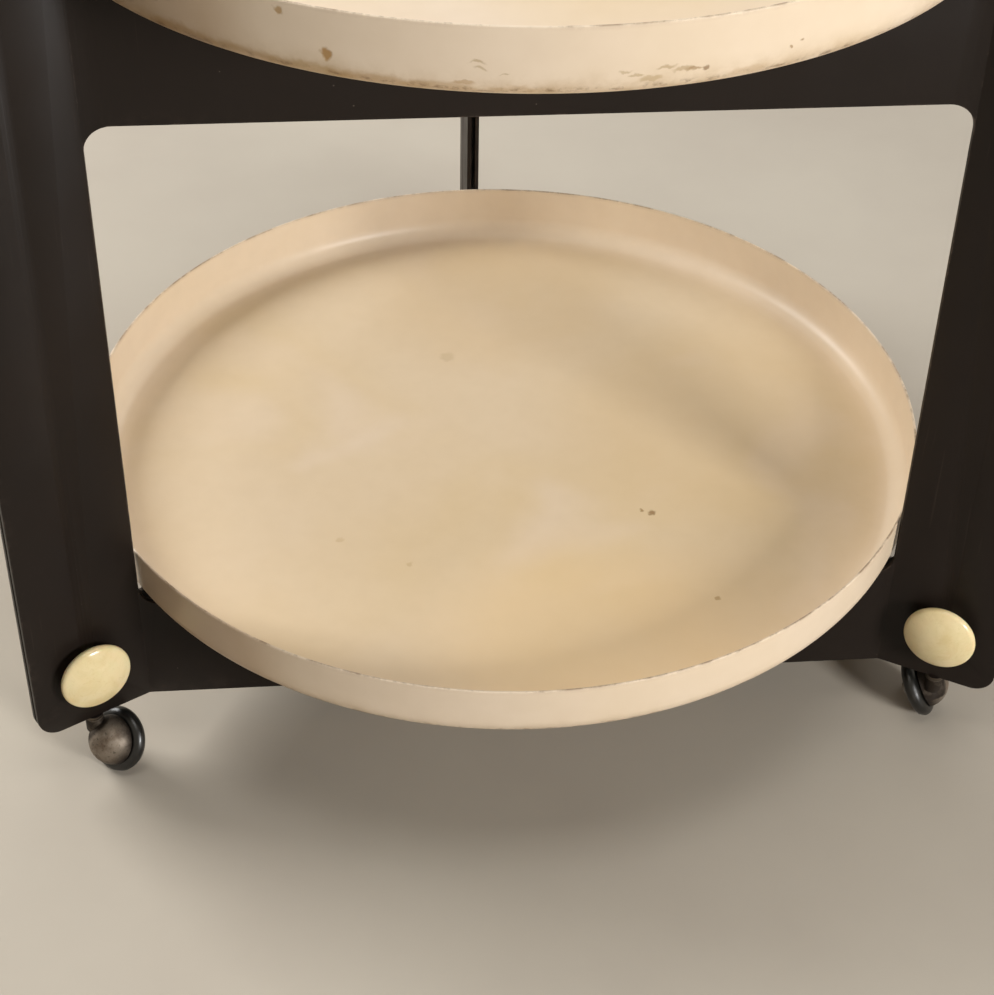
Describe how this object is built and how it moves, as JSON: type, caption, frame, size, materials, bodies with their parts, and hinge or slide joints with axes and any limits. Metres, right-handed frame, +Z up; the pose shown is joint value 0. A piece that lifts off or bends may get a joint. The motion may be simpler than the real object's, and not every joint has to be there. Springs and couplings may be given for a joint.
{
  "type": "serving cart",
  "caption": "Low serving cart of bent black sheet panels clamped into a triangular frame by domed ivory knobs, with round cream trays on its bars and ball casters under its fins.",
  "frame": {"origin": "on the floor under the middle of the cart's outline seen from above", "axes": "+Z up, the front panel faces -Y, the rear fin points to +Y"},
  "size_m": [0.5838, 0.5948, 0.5901],
  "materials": {
    "black_lacquer": "semi-gloss lacquer with fine scratches and worn edges",
    "cream_enamel": "glossy enamel with soft stains and chipped rim",
    "ivory_plastic": "polished, aged",
    "brass": "turned",
    "zinc_steel": "zinc plated",
    "hood_metal": "worn plating with brown patina",
    "black_rubber": "satin rubber"
  },
  "bodies": {
    "frame": {"panel_front": "black_lacquer", "panel_right": "black_lacquer", "panel_left": "black_lacquer", "stud_left_lower": "zinc_steel", "stud_left_upper": "zinc_steel", "stud_right_lower": "zinc_steel", "stud_right_upper": "zinc_steel", "stud_rear_lower": "zinc_steel", "stud_rear_upper": "zinc_steel", "knob_left_lower_front": "ivory_plastic", "knob_left_lower_back": "ivory_plastic", "knob_left_upper_front": "ivory_plastic", "knob_left_upper_back": "ivory_plastic", "knob_right_lower_back": "ivory_plastic", "knob_right_lower_front": "ivory_plastic", "knob_right_upper_back": "ivory_plastic", "knob_right_upper_front": "ivory_plastic", "knob_rear_lower_left": "ivory_plastic", "knob_rear_lower_right": "ivory_plastic", "knob_rear_upper_left": "ivory_plastic", "knob_rear_upper_right": "ivory_plastic", "knob_inserts": "brass", "spacer_left": "zinc_steel", "spacer_right": "zinc_steel", "spacer_rear": "zinc_steel", "bracket_left": "black_lacquer", "bracket_right": "black_lacquer", "bracket_rear": "black_lacquer", "clip_left": "zinc_steel", "clip_right": "zinc_steel", "clip_rear": "zinc_steel"},
    "lower_tray": {"lower_tray": "cream_enamel"},
    "upper_tray": {"upper_tray": "cream_enamel"},
    "swivel_left": {"hood_left": "hood_metal", "axle_left": "zinc_steel", "washer_left": "zinc_steel"},
    "wheel_left": {"hub_left": "hood_metal", "tyre_left": "black_rubber"},
    "swivel_right": {"hood_right": "hood_metal", "axle_right": "zinc_steel", "washer_right": "zinc_steel"},
    "wheel_right": {"hub_right": "hood_metal", "tyre_right": "black_rubber"},
    "swivel_rear": {"hood_rear": "hood_metal", "axle_rear": "zinc_steel", "washer_rear": "zinc_steel"},
    "wheel_rear": {"hub_rear": "hood_metal", "tyre_rear": "black_rubber"}
  },
  "joints": [
    {"name": "lower_tray_lift", "type": "slide", "parent": "frame", "child": "lower_tray", "axis": [0, 0, 1], "range_m": [0, 0.26]},
    {"name": "upper_tray_lift", "type": "slide", "parent": "frame", "child": "upper_tray", "axis": [0, 0, 1], "range_m": [0, 0.15]},
    {"name": "swivel_left_turn", "type": "hinge", "parent": "frame", "child": "swivel_left", "pos_m": [-0.25871, -0.18673, 0.04012], "axis": [0, 0, 1], "continuous": true},
    {"name": "wheel_left_spin", "type": "hinge", "parent": "swivel_left", "child": "wheel_left", "pos_m": [-0.24815, -0.19077, 0.01994], "axis": [-0.5906, -0.6334, 0.5], "continuous": true},
    {"name": "swivel_right_turn", "type": "hinge", "parent": "frame", "child": "swivel_right", "pos_m": [0.25871, -0.18673, 0.04012], "axis": [0, 0, 1], "continuous": true},
    {"name": "wheel_right_spin", "type": "hinge", "parent": "swivel_right", "child": "wheel_right", "pos_m": [0.25713, -0.17554, 0.01994], "axis": [0.8403, -0.2095, 0.5], "continuous": true},
    {"name": "swivel_rear_turn", "type": "hinge", "parent": "frame", "child": "swivel_rear", "pos_m": [0, 0.26136, 0.04012], "axis": [0, 0, 1], "continuous": true},
    {"name": "wheel_rear_spin", "type": "hinge", "parent": "swivel_rear", "child": "wheel_rear", "pos_m": [-0.00958, 0.25537, 0.01994], "axis": [-0.1504, 0.8529, 0.5], "continuous": true}
  ]
}
